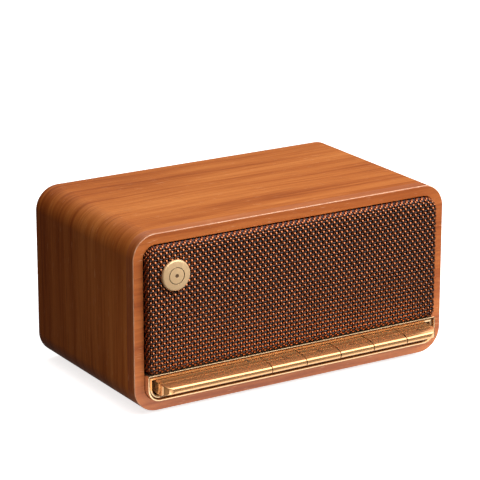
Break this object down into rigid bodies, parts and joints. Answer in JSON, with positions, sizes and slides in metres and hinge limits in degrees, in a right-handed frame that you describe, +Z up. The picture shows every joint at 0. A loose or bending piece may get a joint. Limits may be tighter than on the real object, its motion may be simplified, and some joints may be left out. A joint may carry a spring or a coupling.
{
  "type": "tabletop loudspeaker",
  "caption": "Compact wooden tabletop speaker: rounded cabinet, woven copper grille, round badge, and a gold bar of piano keys along the bottom of the front.",
  "frame": {"origin": "on the surface that the feet stand on, under the middle of the whole object's box", "axes": "+X to the listener's right along the front, -Y out of the front, +Z up"},
  "size_m": [0.163, 0.103, 0.083],
  "materials": {
    "walnut": "satin oiled walnut veneer, grain running across the front",
    "copper_weave": "plain-woven copper and grey wire, satin",
    "pale_gold": "satin pale gold, lightly brushed",
    "gold_trim": "polished gold, die cast",
    "gold_keys": "metallised gold over moulded plastic",
    "steel": "bright zinc plate",
    "dark_metal": "black powder coat",
    "magnet_metal": "nickel plate",
    "black_plastic": "fine moulded texture",
    "paper_cone": "coated paper pulp",
    "rubber": "matt",
    "copper_wire": "lacquered copper winding",
    "circuit_board": "green solder mask",
    "cell_wrap": "shrink wrap",
    "wire_insulation": "plain insulation",
    "grey_ribbon": "flat ribbon",
    "clear_plastic": "clear moulding"
  },
  "bodies": {
    "cabinet": {"cabinet_sleeve": "walnut", "front_frame": "walnut", "grille_mesh": "copper_weave", "grille_frame": "black_plastic", "badge": "pale_gold", "badge_clip": "steel", "key_trim_ring": "gold_trim", "key_tray": "black_plastic", "fixed_plate": "gold_keys", "status_light_pipe": "clear_plastic", "key_pivot_rod": "steel", "key_board": "circuit_board", "front_baffle": "black_plastic", "rear_panel": "black_plastic", "radiator_surround": "rubber", "radiator_guard": "dark_metal", "main_board": "circuit_board", "board_carrier": "black_plastic", "charge_port": "steel", "audio_jack": "black_plastic", "card_slot": "steel", "battery_holder": "black_plastic", "battery_cell_1": "cell_wrap", "battery_cell_2": "cell_wrap", "speaker_lead_left": "wire_insulation", "speaker_lead_right": "wire_insulation", "battery_lead": "wire_insulation", "key_ribbon": "grey_ribbon", "switch_power": "dark_metal", "switch_input": "dark_metal", "switch_play_pause": "dark_metal", "switch_volume_down": "dark_metal", "switch_volume_up": "dark_metal", "driver_basket_left": "dark_metal", "driver_surround_left": "rubber", "driver_magnet_left": "magnet_metal", "driver_basket_right": "dark_metal", "driver_surround_right": "rubber", "driver_magnet_right": "magnet_metal", "rear_screw_lower_left": "steel", "rear_screw_lower_right": "steel", "rear_screw_upper_left": "steel", "rear_screw_upper_right": "steel", "foot_front_left": "rubber", "foot_front_right": "rubber", "foot_rear_left": "rubber", "foot_rear_right": "rubber"},
    "key_power": {"key_power": "gold_keys"},
    "key_input": {"key_input": "gold_keys"},
    "key_play_pause": {"key_play_pause": "gold_keys"},
    "key_volume_down": {"key_volume_down": "gold_keys"},
    "key_volume_up": {"key_volume_up": "gold_keys"},
    "cone_left": {"driver_cone_left": "paper_cone", "driver_voice_coil_left": "copper_wire"},
    "cone_right": {"driver_cone_right": "paper_cone", "driver_voice_coil_right": "copper_wire"},
    "radiator": {"radiator_disc": "dark_metal"}
  },
  "joints": [
    {"name": "key_power_press", "type": "hinge", "parent": "cabinet", "child": "key_power", "pos_m": [0, -0.0295, 0.0149], "axis": [1, 0, 0], "range_deg": [0, 3.2], "stiffness_Nm_per_rad": 0.1, "springref_deg": -5.73},
    {"name": "key_input_press", "type": "hinge", "parent": "cabinet", "child": "key_input", "pos_m": [0, -0.0295, 0.0149], "axis": [1, 0, 0], "range_deg": [0, 3.2], "stiffness_Nm_per_rad": 0.1, "springref_deg": -5.73},
    {"name": "key_play_pause_press", "type": "hinge", "parent": "cabinet", "child": "key_play_pause", "pos_m": [0, -0.0295, 0.0149], "axis": [1, 0, 0], "range_deg": [0, 3.2], "stiffness_Nm_per_rad": 0.1, "springref_deg": -5.73},
    {"name": "key_volume_down_press", "type": "hinge", "parent": "cabinet", "child": "key_volume_down", "pos_m": [0, -0.0295, 0.0149], "axis": [1, 0, 0], "range_deg": [0, 3.2], "stiffness_Nm_per_rad": 0.1, "springref_deg": -5.73},
    {"name": "key_volume_up_press", "type": "hinge", "parent": "cabinet", "child": "key_volume_up", "pos_m": [0, -0.0295, 0.0149], "axis": [1, 0, 0], "range_deg": [0, 3.2], "stiffness_Nm_per_rad": 0.1, "springref_deg": -5.73},
    {"name": "cone_left_travel", "type": "slide", "parent": "cabinet", "child": "cone_left", "axis": [0, 1, 0], "range_m": [-0.0015, 0.0015], "stiffness_N_per_m": 600, "deforming": ["driver_surround_left"]},
    {"name": "cone_right_travel", "type": "slide", "parent": "cabinet", "child": "cone_right", "axis": [0, 1, 0], "range_m": [-0.0015, 0.0015], "stiffness_N_per_m": 600, "deforming": ["driver_surround_right"]},
    {"name": "radiator_travel", "type": "slide", "parent": "cabinet", "child": "radiator", "axis": [0, 1, 0], "range_m": [-0.002, 0.002], "stiffness_N_per_m": 1000, "deforming": ["radiator_surround"]}
  ]
}
